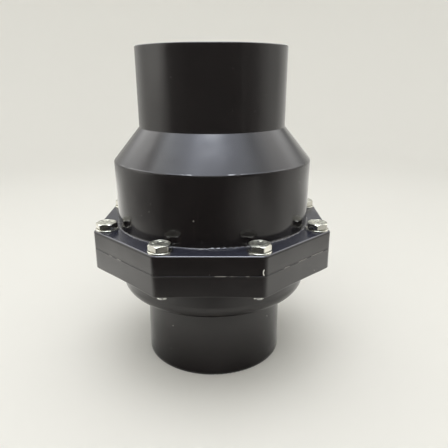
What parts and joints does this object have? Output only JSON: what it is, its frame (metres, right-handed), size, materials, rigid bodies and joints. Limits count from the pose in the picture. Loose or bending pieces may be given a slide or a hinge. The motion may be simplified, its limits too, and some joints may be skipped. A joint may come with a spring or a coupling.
{
  "type": "swing check valve",
  "caption": "Black plastic swing check valve: a hinged flap in a two-part bolted octagonal-flange body with a pipe socket at each end.",
  "frame": {"origin": "centre of the inlet mouth, on the plane that the valve stands on", "axes": "+Z along the pipe axis in the direction of flow, from the inlet to the outlet; +Y towards the flap's hinge; +X along the hinge pin"},
  "size_m": [0.198, 0.198, 0.2714],
  "materials": {
    "black_upvc": "glossy injection-moulded black uPVC",
    "black_upvc_inner": "machined and moulded black uPVC, satin",
    "epdm_rubber": "matte black rubber",
    "stainless_bolts": "bright stainless fasteners",
    "stainless_steel": "turned and stamped stainless steel",
    "bush_plastic": "natural acetal"
  },
  "bodies": {
    "casing": {"inlet_body": "black_upvc", "outlet_body": "black_upvc", "body_oring": "epdm_rubber", "seat_ring": "black_upvc_inner", "seat_oring": "epdm_rubber", "hinge_pin": "stainless_steel", "pin_clip_left": "stainless_steel", "pin_clip_right": "stainless_steel", "flange_bolts": "stainless_bolts", "flange_washers": "stainless_bolts", "flange_nuts": "stainless_bolts"},
    "flap": {"flap_arm": "black_upvc_inner", "pivot_bush_left": "bush_plastic", "pivot_bush_right": "bush_plastic", "flap_disc": "black_upvc_inner", "flap_seal": "epdm_rubber", "seal_retainer": "stainless_steel", "flap_bolt": "stainless_steel", "flap_washer": "stainless_steel", "flap_nut": "stainless_steel"}
  },
  "joints": [
    {"name": "flap_hinge", "type": "hinge", "parent": "casing", "child": "flap", "pos_m": [0, 0.062, 0.117], "axis": [-1, 0, 0], "range_deg": [0, 60]}
  ]
}
